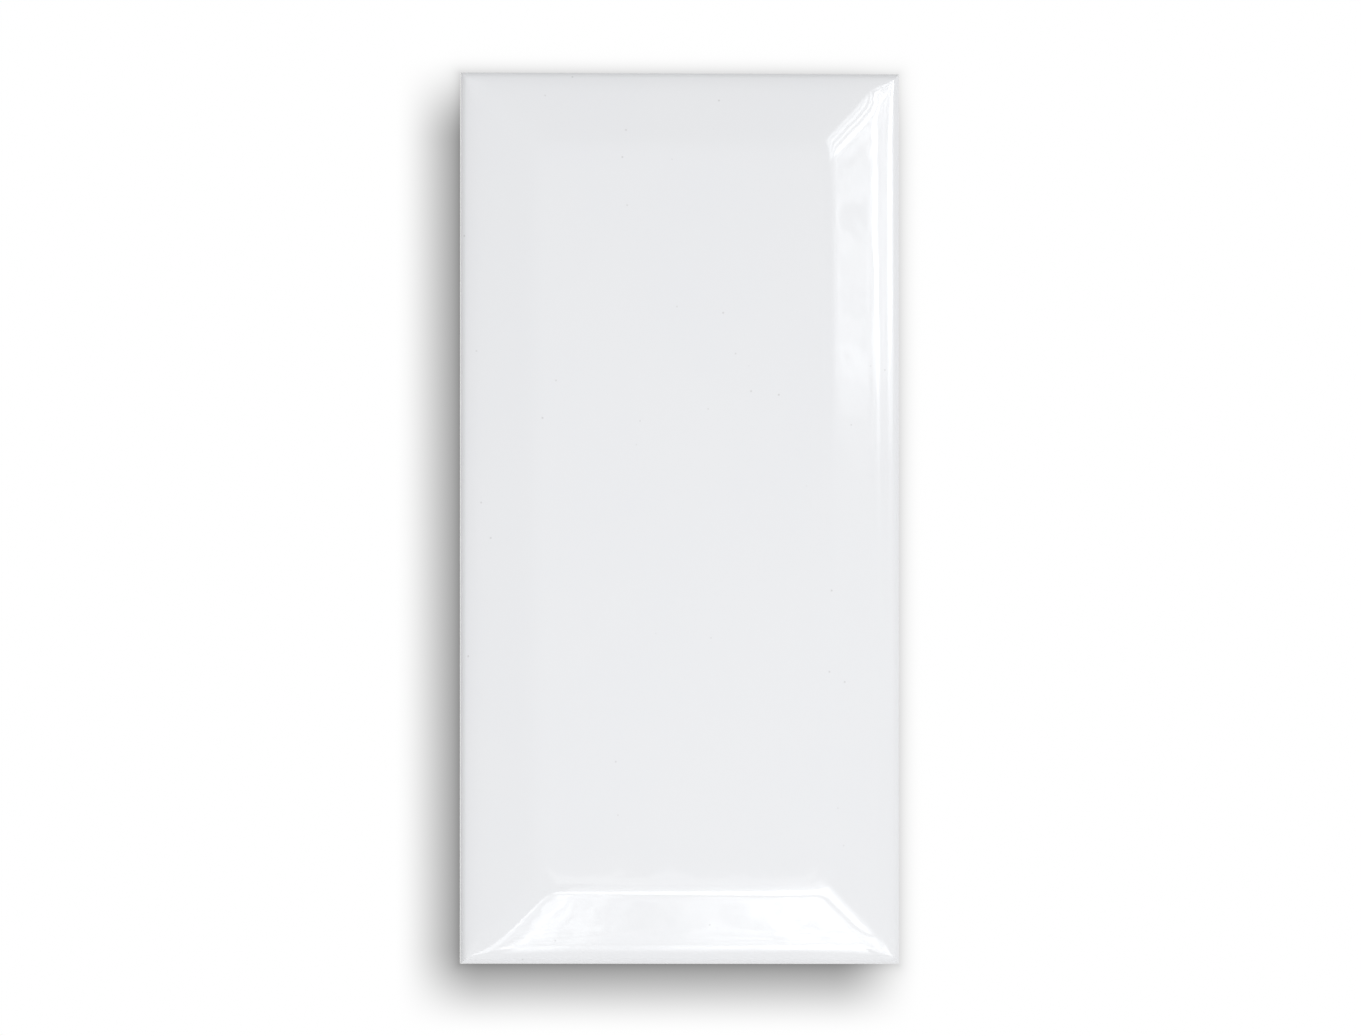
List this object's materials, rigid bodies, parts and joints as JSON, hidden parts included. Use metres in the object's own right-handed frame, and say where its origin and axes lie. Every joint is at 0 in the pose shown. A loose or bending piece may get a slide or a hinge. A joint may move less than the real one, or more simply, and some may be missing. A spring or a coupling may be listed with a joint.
{
  "type": "bevelled wall tile",
  "caption": "Rectangular glazed ceramic wall tile: flat raised field, mitred bevels sloping down to a rolled lip and square edges, ribbed unglazed back.",
  "frame": {"origin": "middle of the back, on the plane of the keying ribs", "axes": "+X across the tile, +Y along its length, +Z out of the back towards the glazed face"},
  "size_m": [0.074, 0.15, 0.008],
  "materials": {
    "glazed_tile": "glossy white glaze over the face, lip and edges, bare matt clay on the back"
  },
  "bodies": {
    "root": {"tile": "glazed_tile"}
  },
  "joints": []
}
